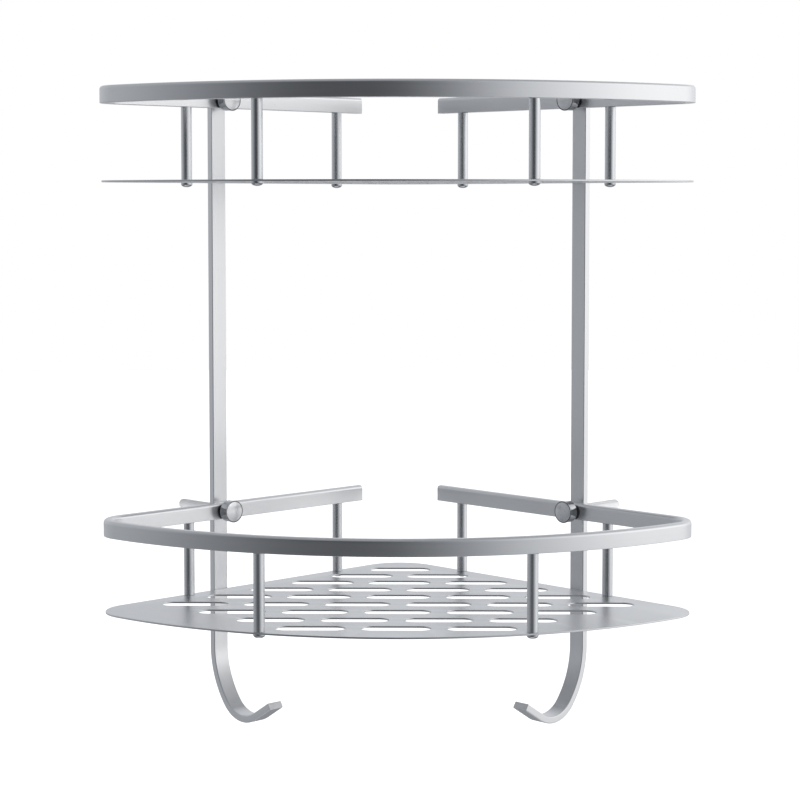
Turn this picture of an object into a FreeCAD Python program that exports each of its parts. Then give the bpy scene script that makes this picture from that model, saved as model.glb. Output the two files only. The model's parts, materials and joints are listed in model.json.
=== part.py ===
import FreeCAD, Part
import Sketcher
import math
import os

# Two-tier corner shower caddy in anodised aluminium, hung on the two walls of a corner.
#
# Frame: +Z is up, and the origin is on the corner line where the two walls meet, level with the
# lowest point of the hooks. The front of the caddy faces -Y, and each wall leaves the origin at
# 45 degrees to it. A place near a wall is given by "along", the distance from the corner line
# measured on the wall, and "depth", the distance out of the wall into the room.

SHEET = "Dimensions"
DIAGONAL = "sqrt(0.5)"
LEFT = -1
RIGHT = 1
SIDE_NAMES = {LEFT: "left", RIGHT: "right"}
TIER_NAMES = ("lower", "upper")

DIMENSIONS = {
    # uprights: one flat bar against each wall, ending in a hook below the lower shelf
    "upright_width": 10.0,
    "upright_thickness": 4.0,
    "upright_along": 149.0,
    "upright_top": 357.8,
    "hook_radius": 19.0,
    "hook_lead_radius": 50.0,
    "hook_lead_angle": 40.0,
    "hook_rise_angle": 32.0,
    "hook_tip_length": 15.2,
    # guard rails: one bent flat bar round each shelf
    "rail_thickness": 5.4,
    "rail_height": 9.2,
    "rail_edge_radius": 1.8,
    "rail_corner_radius": 20.3,
    "rail_front_radius": 231.5,
    "front_arc_centre": 16.0,
    "rail_end_along": 41.5,
    "lower_rail_bottom": 114.8,
    "tier_spacing": 234.4,
    # trays: one punched sheet under each rail
    "tray_drop": 41.4,
    "tray_thickness": 1.0,
    "tray_wall_gap": 4.3,
    "tray_tip_radius": 22.0,
    "tray_apex_radius": 25.0,
    "tray_front_radius": 231.9,
    "slot_length": 37.0,
    "slot_width": 11.5,
    "slot_pitch": 45.0,
    "slot_row_pitch": 22.76,
    "first_slot_row": 41.7,
    # posts between tray and rail, and the screws that hold the tray to them
    "post_diameter": 6.0,
    "back_post_along": 60.0,
    "side_post_along": 174.5,
    "front_post_offset": 71.0,
    "spigot_diameter": 3.0,
    "spigot_length": 4.0,
    "post_bore_depth": 9.0,
    "tray_screw_head": 6.4,
    "tray_screw_rise": 2.4,
    "tray_screw_thread": 3.0,
    "tray_screw_length": 8.0,
    "tray_screw_rounding": 1.9,
    # wall fixings: plug, screw, threaded base and screw-on cap at each crossing
    "plug_diameter": 6.0,
    "plug_length": 32.0,
    "plug_tip_radius": 2.2,
    "plug_bore_depth": 27.0,
    "wall_screw_thread": 4.0,
    "wall_screw_depth": 22.0,
    "wall_screw_head": 7.4,
    "wall_screw_rise": 2.4,
    "wall_screw_rounding": 1.2,
    "base_floor": 1.4,
    "base_flange_diameter": 10.4,
    "base_flange_height": 0.9,
    "base_boss_diameter": 9.2,
    "base_height": 5.0,
    "base_socket_diameter": 7.8,
    "cap_diameter": 12.6,
    "cap_skirt_diameter": 12.2,
    "cap_start": 1.2,
    "cap_step": 6.2,
    "cap_end": 7.5,
    "cap_face": 1.3,
    "cap_edge_radius": 0.9,
    # clearances, on the radius
    "thread_clearance": 0.05,
    "drill_clearance": 0.25,
}

# slots in each row of a tray, from the back apex to the front edge
SLOTS_PER_ROW = (1, 2, 3, 4, 5, 6, 5, 4, 3)

# how far a worked-out volume may be from the solid's, in cubic mm
VOLUME_TOLERANCE = 0.5

# how far an edge may be from the place where it is looked for, in mm
EDGE_TOLERANCE = 0.01

doc = FreeCAD.newDocument("ShowerCaddy")
sheet = doc.addObject("Spreadsheet::Sheet", SHEET)
for row, (alias, number) in enumerate(DIMENSIONS.items(), start=1):
    sheet.set(f"A{row}", alias)
    sheet.set(f"B{row}", str(number))
    sheet.setAlias(f"B{row}", alias)
doc.recompute()


def dim(alias):
    """The expression that reads one dimension from the sheet."""
    return f"{SHEET}.{alias}"


def value(expression):
    """The present value of an expression, for the starting shape of a sketch."""
    return float(sheet.evalExpression(expression))


RAIL_MIDDLE_DEPTH = f"({dim('upright_thickness')} + {dim('rail_thickness')} / 2)"
RAIL_FACE_DEPTH = f"({dim('upright_thickness')} + {dim('rail_thickness')})"


def rail_bottom(tier):
    """Height of the underside of a tier's rail."""
    return f"({dim('lower_rail_bottom')} + {TIER_NAMES.index(tier)} * {dim('tier_spacing')})"


def tray_top(tier):
    return f"({rail_bottom(tier)} - {dim('tray_drop')})"


def fixing_height(tier):
    """Height of the wall screws, which go through the middle of the rail."""
    return f"({rail_bottom(tier)} + {dim('rail_height')} / 2)"


def near_wall(side, along, depth, height):
    """Position, as three expressions, of a place given along and out of one wall."""
    return (
        f"{side} * (({along}) - ({depth})) * {DIAGONAL}",
        f"-(({along}) + ({depth})) * {DIAGONAL}",
        height,
    )


def wall_normal(side):
    """Unit vector out of a wall into the room."""
    return FreeCAD.Vector(-side, -1, 0).normalize()


def place(piece, position, rotation=None):
    """Turn a piece, then bind its position to three expressions."""
    if rotation is not None:
        piece.Placement = FreeCAD.Placement(FreeCAD.Vector(), rotation)
    for axis, expression in zip("xyz", position):
        piece.setExpression(f"Placement.Base.{axis}", expression)


def new_body(label):
    body = doc.addObject("PartDesign::Body", label)
    body.Label = label
    return body


def new_sketch(body, name, plane_role):
    """A sketch on one of the body's own origin planes."""
    sketch = body.newObject("Sketcher::SketchObject", name)
    plane = next(item for item in body.Origin.OriginFeatures if item.Role == plane_role)
    sketch.AttachmentSupport = (plane, [""])
    sketch.MapMode = "FlatFace"
    return sketch


def bind(sketch, name, expression, *constraint):
    """Add a dimension to a sketch and bind it to an expression."""
    index = sketch.addConstraint(Sketcher.Constraint(*constraint, value(expression)))
    sketch.renameConstraint(index, name)
    sketch.setExpression(f"Constraints.{name}", expression)


def relate(sketch, *constraint):
    sketch.addConstraint(Sketcher.Constraint(*constraint))


def flat_point(x, y):
    return FreeCAD.Vector(x, y, 0)


def add_arc(sketch, centre, radius, start_degrees, end_degrees):
    """An anticlockwise arc."""
    circle = Part.Circle(centre, FreeCAD.Vector(0, 0, 1), radius)
    start = math.radians(start_degrees)
    end = math.radians(end_degrees)
    return sketch.addGeometry(Part.ArcOfCircle(circle, start, end))


def add_line(sketch, start, end):
    return sketch.addGeometry(Part.LineSegment(start, end))


def on_circle(centre, radius, degrees):
    turn = math.radians(degrees)
    return centre + flat_point(radius * math.cos(turn), radius * math.sin(turn))


def quadrant_arcs(sketch, wall_distance, corner_radius, front_radius):
    """Left corner, front and right corner arcs of a plan outline that follows both walls.

    The arguments are expressions. Returns the three arcs, and the points where the outline
    leaves the left corner and the right corner for the straight runs.
    """
    wall = value(wall_distance)
    corner = value(corner_radius)
    front = value(front_radius)
    centre_depth = value(dim("front_arc_centre"))
    shift = centre_depth * math.sqrt(0.5)
    depth = wall + corner
    along = shift + math.sqrt((front - corner) ** 2 - (depth - shift) ** 2)
    corner_x = (along - depth) * math.sqrt(0.5)
    corner_y = -(along + depth) * math.sqrt(0.5)
    sweep = math.degrees(math.atan2(-corner_y - centre_depth, corner_x))
    left_centre = flat_point(-corner_x, corner_y)
    right_centre = flat_point(corner_x, corner_y)
    left = add_arc(sketch, left_centre, corner, 135, 180 + sweep)
    middle = add_arc(sketch, flat_point(0, -centre_depth), front, 180 + sweep, 360 - sweep)
    right = add_arc(sketch, right_centre, corner, -sweep, 45)
    relate(sketch, "Tangent", left, 2, middle, 1)
    relate(sketch, "Tangent", middle, 2, right, 1)
    relate(sketch, "Equal", left, right)
    relate(sketch, "PointOnObject", middle, 3, -2)
    bind(sketch, "corner_radius", corner_radius, "Radius", left)
    bind(sketch, "front_radius", front_radius, "Radius", middle)
    bind(sketch, "front_centre", f"-{dim('front_arc_centre')}", "DistanceY", middle, 3)
    ends = on_circle(left_centre, corner, 135), on_circle(right_centre, corner, 45)
    return (left, middle, right), ends


def turned_piece(label, corners):
    """A piece turned about its own Z axis from a closed outline of (radius, height) corners.

    Each corner is a pair of expressions; a radius of "0" lies on the axis.
    """
    body = new_body(label)
    sketch = new_sketch(body, f"{label}_profile", "XZ_Plane")
    points = [flat_point(value(radius), value(height)) for radius, height in corners]
    count = len(points)
    lines = [add_line(sketch, points[i], points[(i + 1) % count]) for i in range(count)]
    for i in range(count):
        relate(sketch, "Coincident", lines[i - 1], 2, lines[i], 1)
    for i, (radius, height) in enumerate(corners):
        if radius == "0":
            relate(sketch, "PointOnObject", lines[i], 1, -2)
        else:
            bind(sketch, f"radius_{i}", radius, "DistanceX", lines[i], 1)
        if height == "0":
            relate(sketch, "PointOnObject", lines[i], 1, -1)
        else:
            bind(sketch, f"height_{i}", height, "DistanceY", lines[i], 1)
    turn = body.newObject("PartDesign::Revolution", f"{label}_turned")
    turn.Profile = sketch
    turn.ReferenceAxis = (sketch, ["V_Axis"])
    turn.Angle = 360
    body.Tip = turn
    return body


def round_rim(body, radius, height, rounding):
    """Round the circular edge of a turned piece that has this radius and height."""
    doc.recompute()
    base = body.Tip
    wanted = (value(radius), value(height))
    names = []
    for number, edge in enumerate(base.Shape.Edges, start=1):
        if not isinstance(edge.Curve, Part.Circle):
            continue
        offset = edge.Curve.Radius - wanted[0], edge.Curve.Center.z - wanted[1]
        if math.hypot(*offset) < EDGE_TOLERANCE:
            names.append(f"Edge{number}")
    fillet = body.newObject("PartDesign::Fillet", f"{body.Name}_rim")
    fillet.Base = (base, names)
    fillet.setExpression("Radius", rounding)
    body.Tip = fillet


def drill(name, radius, length, position, direction):
    """A cylinder to cut away, from a position along a direction."""
    cylinder = doc.addObject("Part::Cylinder", name)
    cylinder.setExpression("Radius", radius)
    cylinder.setExpression("Height", length)
    place(cylinder, position, FreeCAD.Rotation(FreeCAD.Vector(0, 0, 1), direction))
    return cylinder


def cut_from(base, label, tools):
    """The base with all the tools cut away."""
    tool = doc.addObject("Part::MultiFuse", f"{label}_drills")
    tool.Shapes = tools
    cut = doc.addObject("Part::Cut", label)
    cut.Base = base
    cut.Tool = tool
    cut.Label = label
    return cut


def group(label, pieces):
    """Identical fasteners that share one node, each still a solid of its own."""
    compound = doc.addObject("Part::Compound", label)
    compound.Links = pieces
    compound.Label = label
    return compound


def post_positions(height):
    """The six posts of a shelf: name and position, on the middle line of the rail."""
    arc_radius = f"({dim('rail_front_radius')} - {dim('rail_thickness')} / 2)"
    front_reach = f"sqrt({arc_radius}^2 - {dim('front_post_offset')}^2)"
    positions = {}
    for side, name in SIDE_NAMES.items():
        for spot in ("back", "side"):
            along = dim(f"{spot}_post_along")
            positions[f"{spot}_post_{name}"] = near_wall(side, along, RAIL_MIDDLE_DEPTH, height)
        positions[f"front_post_{name}"] = (
            f"{side} * {dim('front_post_offset')}",
            f"-({dim('front_arc_centre')} + {front_reach})",
            height,
        )
    return positions


def wall_fixings():
    """Every crossing of a rail and an upright: its name, side and tier."""
    return [(f"{tier}_{name}", side, tier) for tier in TIER_NAMES for side, name in SIDE_NAMES.items()]


def place_on_wall(piece, side, tier):
    """Stand a turned piece on the wall plane, with its axis out of the wall."""
    rotation = FreeCAD.Rotation(FreeCAD.Vector(0, 0, 1), wall_normal(side))
    place(piece, near_wall(side, dim("upright_along"), "0", fixing_height(tier)), rotation)


def rail(tier):
    """A flat bar bent round the shelf: straight runs, two tight corners and the front arc."""
    label = f"{tier}_rail"
    half = f"{dim('rail_thickness')} / 2"
    body = new_body(f"{label}_bar")
    path = new_sketch(body, f"{label}_path", "XY_Plane")
    arcs, ends = quadrant_arcs(
        path,
        RAIL_MIDDLE_DEPTH,
        f"{dim('rail_corner_radius')} - {half}",
        f"{dim('rail_front_radius')} - {half}",
    )
    end_along = dim("rail_end_along")
    tips = []
    for side in (LEFT, RIGHT):
        position = near_wall(side, end_along, RAIL_MIDDLE_DEPTH, "0")
        tips.append(flat_point(value(position[0]), value(position[1])))
    left_run = add_line(path, tips[0], ends[0])
    right_run = add_line(path, ends[1], tips[1])
    relate(path, "Tangent", left_run, 2, arcs[0], 1)
    relate(path, "Tangent", arcs[2], 2, right_run, 1)
    relate(path, "Symmetric", left_run, 1, right_run, 2, -2)
    relate(path, "Angle", left_run, math.radians(-135))
    relate(path, "Perpendicular", left_run, right_run)
    left_tip = near_wall(LEFT, end_along, RAIL_MIDDLE_DEPTH, "0")
    bind(path, "end_across", left_tip[0], "DistanceX", left_run, 1)
    bind(path, "end_back", left_tip[1], "DistanceY", left_run, 1)

    section = new_sketch(body, f"{label}_section", "XZ_Plane")
    turn = FreeCAD.Rotation(FreeCAD.Vector(0, 1, 0), -45)
    section.AttachmentOffset = FreeCAD.Placement(FreeCAD.Vector(), turn)
    section.setExpression("AttachmentOffset.Base.x", left_tip[0])
    section.setExpression("AttachmentOffset.Base.z", f"-({left_tip[1]})")
    round_top_bar(section)

    sweep = body.newObject("PartDesign::AdditivePipe", f"{label}_sweep")
    sweep.Profile = section
    sweep.Spine = path
    body.Tip = sweep
    place(body, ("0", "0", rail_bottom(tier)))

    tools = []
    for name, position in post_positions(rail_bottom(tier)).items():
        radius = f"{dim('spigot_diameter')} / 2 + {dim('thread_clearance')}"
        depth = f"{dim('spigot_length')} + {dim('drill_clearance')}"
        tools.append(drill(f"{label}_{name}_hole", radius, depth, position, FreeCAD.Vector(0, 0, 1)))
    for side in SIDE_NAMES:
        tools.append(screw_hole(label, side, tier))
    return cut_from(body, label, tools)


def round_top_bar(section):
    """Cross-section of a rail: square at the bottom, rounded along both top edges."""
    half = value(dim("rail_thickness")) / 2
    height = value(dim("rail_height"))
    radius = value(dim("rail_edge_radius"))
    low_left = flat_point(-half, 0)
    low_right = flat_point(half, 0)
    shoulder_right = flat_point(half, height - radius)
    shoulder_left = flat_point(-half, height - radius)
    top_right = flat_point(half - radius, height)
    top_left = flat_point(radius - half, height)
    bottom = add_line(section, low_left, low_right)
    right = add_line(section, low_right, shoulder_right)
    right_arc = add_arc(section, flat_point(half - radius, height - radius), radius, 0, 90)
    top = add_line(section, top_right, top_left)
    left_arc = add_arc(section, flat_point(radius - half, height - radius), radius, 90, 180)
    left = add_line(section, shoulder_left, low_left)
    relate(section, "Coincident", left, 2, bottom, 1)
    relate(section, "Coincident", bottom, 2, right, 1)
    relate(section, "Tangent", right, 2, right_arc, 1)
    relate(section, "Tangent", right_arc, 2, top, 1)
    relate(section, "Tangent", top, 2, left_arc, 1)
    relate(section, "Tangent", left_arc, 2, left, 1)
    relate(section, "Horizontal", bottom)
    relate(section, "Vertical", right)
    relate(section, "Vertical", left)
    relate(section, "Equal", left_arc, right_arc)
    relate(section, "Symmetric", bottom, 1, bottom, 2, -1, 1)
    bind(section, "edge_radius", dim("rail_edge_radius"), "Radius", right_arc)
    bind(section, "thickness", dim("rail_thickness"), "DistanceX", bottom, 1, bottom, 2)
    bind(section, "bar_height", dim("rail_height"), "DistanceY", bottom, 2, top, 1)


def screw_hole(label, side, tier):
    """Clearance hole for a wall screw, through a rail or an upright."""
    radius = f"{dim('wall_screw_thread')} / 2 + {dim('drill_clearance')}"
    length = f"{RAIL_FACE_DEPTH} + 2 * {dim('drill_clearance')}"
    depth = f"-{dim('drill_clearance')}"
    position = near_wall(side, dim("upright_along"), depth, fixing_height(tier))
    name = f"{label}_{tier}_{SIDE_NAMES[side]}_screw_hole"
    return drill(name, radius, length, position, wall_normal(side))


def tray(tier):
    """A sheet that follows both walls and the front of the rail, with staggered slots."""
    label = f"{tier}_tray"
    body = new_body(f"{label}_sheet")
    outline = new_sketch(body, f"{label}_outline", "XY_Plane")
    gap = dim("tray_wall_gap")
    arcs, ends = quadrant_arcs(outline, gap, dim("tray_tip_radius"), dim("tray_front_radius"))
    apex_radius = dim("tray_apex_radius")
    apex_depth = f"-({gap} + {apex_radius}) * sqrt(2)"
    apex_centre = flat_point(0, value(apex_depth))
    apex = add_arc(outline, apex_centre, value(apex_radius), 45, 135)
    left_run = add_line(outline, on_circle(apex_centre, value(apex_radius), 135), ends[0])
    right_run = add_line(outline, ends[1], on_circle(apex_centre, value(apex_radius), 45))
    relate(outline, "Tangent", apex, 2, left_run, 1)
    relate(outline, "Tangent", left_run, 2, arcs[0], 1)
    relate(outline, "Tangent", arcs[2], 2, right_run, 1)
    relate(outline, "Tangent", right_run, 2, apex, 1)
    relate(outline, "PointOnObject", apex, 3, -2)
    relate(outline, "Perpendicular", left_run, right_run)
    relate(outline, "Horizontal", left_run, 1, right_run, 2)
    bind(outline, "apex_radius", apex_radius, "Radius", apex)
    bind(outline, "apex_centre", apex_depth, "DistanceY", apex, 3)
    pad = body.newObject("PartDesign::Pad", f"{label}_pad")
    pad.Profile = outline
    pad.Reversed = True
    pad.setExpression("Length", dim("tray_thickness"))
    body.Tip = pad
    for number, count in enumerate(SLOTS_PER_ROW):
        slot_row(body, label, number, count)
    check_slots(pad, body)
    place(body, ("0", "0", tray_top(tier)))

    tools = []
    for name, position in post_positions(tray_top(tier)).items():
        radius = f"{dim('tray_screw_thread')} / 2 + {dim('drill_clearance')}"
        start_height = f"{position[2]} - {dim('tray_thickness')} - {dim('drill_clearance')}"
        start = (position[0], position[1], start_height)
        length = f"{dim('tray_thickness')} + 2 * {dim('drill_clearance')}"
        tools.append(drill(f"{label}_{name}_hole", radius, length, start, FreeCAD.Vector(0, 0, 1)))
    return cut_from(body, label, tools)


def slot_row(body, label, number, count):
    """One row of round-ended slots across the tray, centred on the middle line."""
    sketch = new_sketch(body, f"{label}_slot_{number}", "XY_Plane")
    radius = f"{dim('slot_width')} / 2"
    straight = f"({dim('slot_length')} - {dim('slot_width')})"
    row_depth = f"-({dim('first_slot_row')} + {number} * {dim('slot_row_pitch')})"
    first_middle = f"-{count - 1} * {dim('slot_pitch')} / 2"
    left_x = f"{first_middle} - {straight} / 2"
    left_centre = flat_point(value(left_x), value(row_depth))
    right_centre = left_centre + flat_point(value(straight), 0)
    size = value(radius)
    left = add_arc(sketch, left_centre, size, 90, 270)
    right = add_arc(sketch, right_centre, size, -90, 90)
    near = add_line(sketch, on_circle(left_centre, size, 270), on_circle(right_centre, size, 270))
    far = add_line(sketch, on_circle(right_centre, size, 90), on_circle(left_centre, size, 90))
    relate(sketch, "Tangent", left, 2, near, 1)
    relate(sketch, "Tangent", near, 2, right, 1)
    relate(sketch, "Tangent", right, 2, far, 1)
    relate(sketch, "Tangent", far, 2, left, 1)
    relate(sketch, "Horizontal", near)
    bind(sketch, "end_radius", radius, "Radius", left)
    bind(sketch, "straight", straight, "DistanceX", left, 3, right, 3)
    bind(sketch, "first", left_x, "DistanceX", left, 3)
    bind(sketch, "row_depth", row_depth, "DistanceY", left, 3)
    pocket = body.newObject("PartDesign::Pocket", f"{label}_row_{number}")
    pocket.Profile = sketch
    pocket.Type = "ThroughAll"
    pocket.Midplane = True
    body.Tip = pocket
    if count == 1:
        return
    pattern = body.newObject("PartDesign::LinearPattern", f"{label}_row_{number}_pattern")
    pattern.Originals = [pocket]
    pattern.Direction = (sketch, ["H_Axis"])
    pattern.setExpression("Length", f"{count - 1} * {dim('slot_pitch')}")
    pattern.Occurrences = count
    body.Tip = pattern


def check_slots(pad, body):
    """Stop unless the plain sheet has lost the volume of every slot."""
    doc.recompute()
    width = value(dim("slot_width"))
    straight = value(dim("slot_length")) - width
    slot_area = math.pi * width**2 / 4 + straight * width
    wanted = sum(SLOTS_PER_ROW) * slot_area * value(dim("tray_thickness"))
    lost = pad.Shape.Volume - body.Shape.Volume
    if abs(lost - wanted) > VOLUME_TOLERANCE:
        raise RuntimeError(f"{body.Label}: the slots cut {lost:.1f} mm3 and not {wanted:.1f}")


def posts(tier):
    """Six turned posts: a spigot into the rail above, a threaded bore for the tray screw."""
    radius = f"{dim('post_diameter')} / 2"
    spigot = f"{dim('spigot_diameter')} / 2"
    bore = f"{dim('tray_screw_thread')} / 2 + {dim('thread_clearance')}"
    top = dim("tray_drop")
    spigot_top = f"{top} + {dim('spigot_length')}"
    bore_top = dim("post_bore_depth")
    made = []
    for name, position in post_positions(tray_top(tier)).items():
        corners = [
            (bore, "0"),
            (radius, "0"),
            (radius, top),
            (spigot, top),
            (spigot, spigot_top),
            ("0", spigot_top),
            ("0", bore_top),
            (bore, bore_top),
        ]
        post = turned_piece(f"{tier}_{name}", corners)
        place(post, position)
        made.append(post)
    return made


def tray_screws(tier):
    """Six dome-headed screws, up through the tray into the posts."""
    head = f"{dim('tray_screw_head')} / 2"
    thread = f"{dim('tray_screw_thread')} / 2"
    underside = f"-{dim('tray_thickness')}"
    bottom = f"{underside} - {dim('tray_screw_rise')}"
    made = []
    for name, position in post_positions(tray_top(tier)).items():
        corners = [
            ("0", bottom),
            (head, bottom),
            (head, underside),
            (thread, underside),
            (thread, dim("tray_screw_length")),
            ("0", dim("tray_screw_length")),
        ]
        screw = turned_piece(f"{tier}_{name}_screw", corners)
        round_rim(screw, head, bottom, dim("tray_screw_rounding"))
        place(screw, position)
        made.append(screw)
    return group(f"{tier}_tray_screws", made)


def upright(side):
    """A flat bar down the wall that curls out into the room as a hook."""
    label = f"{SIDE_NAMES[side]}_upright"
    body = new_body(f"{label}_bar")
    lead = value(dim("hook_lead_angle"))
    rise = value(dim("hook_rise_angle"))
    hook_radius = value(dim("hook_radius"))
    lead_radius = value(dim("hook_lead_radius"))
    half = value(dim("upright_thickness")) / 2
    hook_height = hook_radius + half
    lead_turn = math.radians(lead)
    lead_height = hook_height + (lead_radius - hook_radius) * math.sin(lead_turn)
    hook_depth = half + lead_radius - (lead_radius - hook_radius) * math.cos(lead_turn)
    hook_centre = flat_point(hook_depth, hook_height)
    lead_centre = flat_point(half + lead_radius, lead_height)

    path = new_sketch(body, f"{label}_path", "XZ_Plane")
    top = flat_point(half, value(dim("upright_top")))
    straight = add_line(path, top, flat_point(half, lead_height))
    lead_arc = add_arc(path, lead_centre, lead_radius, 180, 180 + lead)
    hook_arc = add_arc(path, hook_centre, hook_radius, 180 + lead, 270 + rise)
    bend_end = on_circle(hook_centre, hook_radius, 270 + rise)
    tip_reach = flat_point(math.cos(math.radians(rise)), math.sin(math.radians(rise)))
    tip = add_line(path, bend_end, bend_end + tip_reach * value(dim("hook_tip_length")))
    tip_spoke = add_line(path, hook_centre, bend_end)
    lead_spoke = add_line(path, lead_centre, on_circle(lead_centre, lead_radius, 180 + lead))
    for spoke, arc in ((tip_spoke, hook_arc), (lead_spoke, lead_arc)):
        path.setConstruction(spoke, True)
        relate(path, "Coincident", spoke, 1, arc, 3)
        relate(path, "Coincident", spoke, 2, arc, 2)
    relate(path, "Vertical", straight)
    relate(path, "Tangent", straight, 2, lead_arc, 1)
    relate(path, "Tangent", lead_arc, 2, hook_arc, 1)
    relate(path, "Tangent", hook_arc, 2, tip, 1)
    bind(path, "hook_radius", dim("hook_radius"), "Radius", hook_arc)
    bind(path, "lead_radius", dim("hook_lead_radius"), "Radius", lead_arc)
    bind(path, "tip_length", dim("hook_tip_length"), "Distance", tip)
    bind(path, "bar_top", dim("upright_top"), "DistanceY", straight, 1)
    bind(path, "bar_depth", f"{dim('upright_thickness')} / 2", "DistanceX", straight, 1)
    hook_rest = f"{dim('hook_radius')} + {dim('upright_thickness')} / 2"
    bind(path, "hook_rest", hook_rest, "DistanceY", hook_arc, 3)
    bind(path, "rise", f"{dim('hook_rise_angle')} * 1deg - 90deg", "Angle", tip_spoke)
    bind(path, "lead", f"{dim('hook_lead_angle')} * 1deg - 180deg", "Angle", lead_spoke)

    section = new_sketch(body, f"{label}_section", "XY_Plane")
    section.setExpression("AttachmentOffset.Base.z", dim("upright_top"))
    half_width = value(dim("upright_width")) / 2
    corners = [
        flat_point(0, -half_width),
        flat_point(2 * half, -half_width),
        flat_point(2 * half, half_width),
        flat_point(0, half_width),
    ]
    edges = [add_line(section, corners[i], corners[(i + 1) % 4]) for i in range(4)]
    for i in range(4):
        relate(section, "Coincident", edges[i - 1], 2, edges[i], 1)
        relate(section, "Horizontal" if i % 2 == 0 else "Vertical", edges[i])
    relate(section, "Symmetric", edges[3], 1, edges[3], 2, -1, 1)
    bind(section, "thickness", dim("upright_thickness"), "DistanceX", edges[0], 1, edges[0], 2)
    bind(section, "width", dim("upright_width"), "DistanceY", edges[1], 1, edges[1], 2)

    sweep = body.newObject("PartDesign::AdditivePipe", f"{label}_sweep")
    sweep.Profile = section
    sweep.Spine = path
    body.Tip = sweep
    rotation = FreeCAD.Rotation(FreeCAD.Vector(1, 0, 0), wall_normal(side))
    place(body, near_wall(side, dim("upright_along"), "0", "0"), rotation)
    return cut_from(body, label, [screw_hole(label, side, tier) for tier in TIER_NAMES])


def wall_plug(name, side, tier):
    """A plastic plug, sunk in the wall with its mouth flush."""
    radius = f"{dim('plug_diameter')} / 2"
    bore = f"{dim('wall_screw_thread')} / 2 + {dim('thread_clearance')}"
    tip = f"-{dim('plug_length')}"
    bore_end = f"-{dim('plug_bore_depth')}"
    corners = [
        ("0", tip),
        (radius, tip),
        (radius, "0"),
        (bore, "0"),
        (bore, bore_end),
        ("0", bore_end),
    ]
    plug = turned_piece(f"{name}_plug", corners)
    round_rim(plug, radius, tip, dim("plug_tip_radius"))
    place_on_wall(plug, side, tier)
    return plug


def wall_screw(name, side, tier):
    """A screw from the cap base, through rail and upright, into the plug."""
    thread = f"{dim('wall_screw_thread')} / 2"
    head = f"{dim('wall_screw_head')} / 2"
    point = f"-{dim('wall_screw_depth')}"
    seat = f"{RAIL_FACE_DEPTH} + {dim('base_floor')}"
    top = f"{seat} + {dim('wall_screw_rise')}"
    corners = [
        ("0", point),
        (thread, point),
        (thread, seat),
        (head, seat),
        (head, top),
        ("0", top),
    ]
    screw = turned_piece(f"{name}_screw", corners)
    round_rim(screw, head, top, dim("wall_screw_rounding"))
    place_on_wall(screw, side, tier)
    return screw


def cap_base(name, side, tier):
    """A flanged ring under the screw head, whose outside thread carries the cap."""
    hole = f"{dim('wall_screw_thread')} / 2 + {dim('drill_clearance')}"
    socket = f"{dim('base_socket_diameter')} / 2"
    boss = f"{dim('base_boss_diameter')} / 2"
    flange = f"{dim('base_flange_diameter')} / 2"
    flange_top = f"{RAIL_FACE_DEPTH} + {dim('base_flange_height')}"
    floor_top = f"{RAIL_FACE_DEPTH} + {dim('base_floor')}"
    boss_top = f"{RAIL_FACE_DEPTH} + {dim('base_height')}"
    corners = [
        (hole, RAIL_FACE_DEPTH),
        (flange, RAIL_FACE_DEPTH),
        (flange, flange_top),
        (boss, flange_top),
        (boss, boss_top),
        (socket, boss_top),
        (socket, floor_top),
        (hole, floor_top),
    ]
    base = turned_piece(f"{name}_cap_base", corners)
    place_on_wall(base, side, tier)
    return base


def cap(name, side, tier):
    """A round cover screwed on the base to hide the screw: a skirt under a wider face disc."""
    radius = f"{dim('cap_diameter')} / 2"
    skirt = f"{dim('cap_skirt_diameter')} / 2"
    bore = f"{dim('base_boss_diameter')} / 2 + {dim('thread_clearance')}"
    mouth = f"{RAIL_FACE_DEPTH} + {dim('cap_start')}"
    step = f"{RAIL_FACE_DEPTH} + {dim('cap_step')}"
    top = f"{RAIL_FACE_DEPTH} + {dim('cap_end')}"
    ceiling = f"{top} - {dim('cap_face')}"
    corners = [
        (bore, mouth),
        (skirt, mouth),
        (skirt, step),
        (radius, step),
        (radius, top),
        ("0", top),
        ("0", ceiling),
        (bore, ceiling),
    ]
    cover = turned_piece(f"{name}_cap", corners)
    round_rim(cover, radius, top, dim("cap_edge_radius"))
    place_on_wall(cover, side, tier)
    return cover


def build():
    """Every sub-part, in the order a fitter would lay them out."""
    made = []
    for side in SIDE_NAMES:
        made.append(upright(side))
    for tier in TIER_NAMES:
        made.append(rail(tier))
        made.append(tray(tier))
        made.extend(posts(tier))
        made.append(tray_screws(tier))
    plugs = []
    screws = []
    for name, side, tier in wall_fixings():
        plugs.append(wall_plug(name, side, tier))
        screws.append(wall_screw(name, side, tier))
        made.append(cap_base(name, side, tier))
        made.append(cap(name, side, tier))
    made.append(group("wall_plugs", plugs))
    made.append(group("wall_screws", screws))
    return made


def check(objects, sub_parts):
    """Stop if any object failed, or a sub-part has no valid solid."""
    for item in objects:
        if {"Invalid", "Error"} & set(item.State):
            raise RuntimeError(f"{item.Label} failed: {item.State}")
    for item in sub_parts:
        shape = item.Shape
        if shape.isNull() or not shape.isValid() or not shape.Solids:
            raise RuntimeError(f"{item.Label} has no valid solid")


parts_made = build()
doc.recompute()
check(doc.Objects, parts_made)
os.makedirs("parts", exist_ok=True)
for piece in parts_made:
    piece.Shape.exportStep(f"parts/{piece.Label}.step")
    print(f"{piece.Label}: {len(piece.Shape.Solids)} solids, {piece.Shape.Volume:.0f} mm3")
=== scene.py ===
import json
import math

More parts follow.
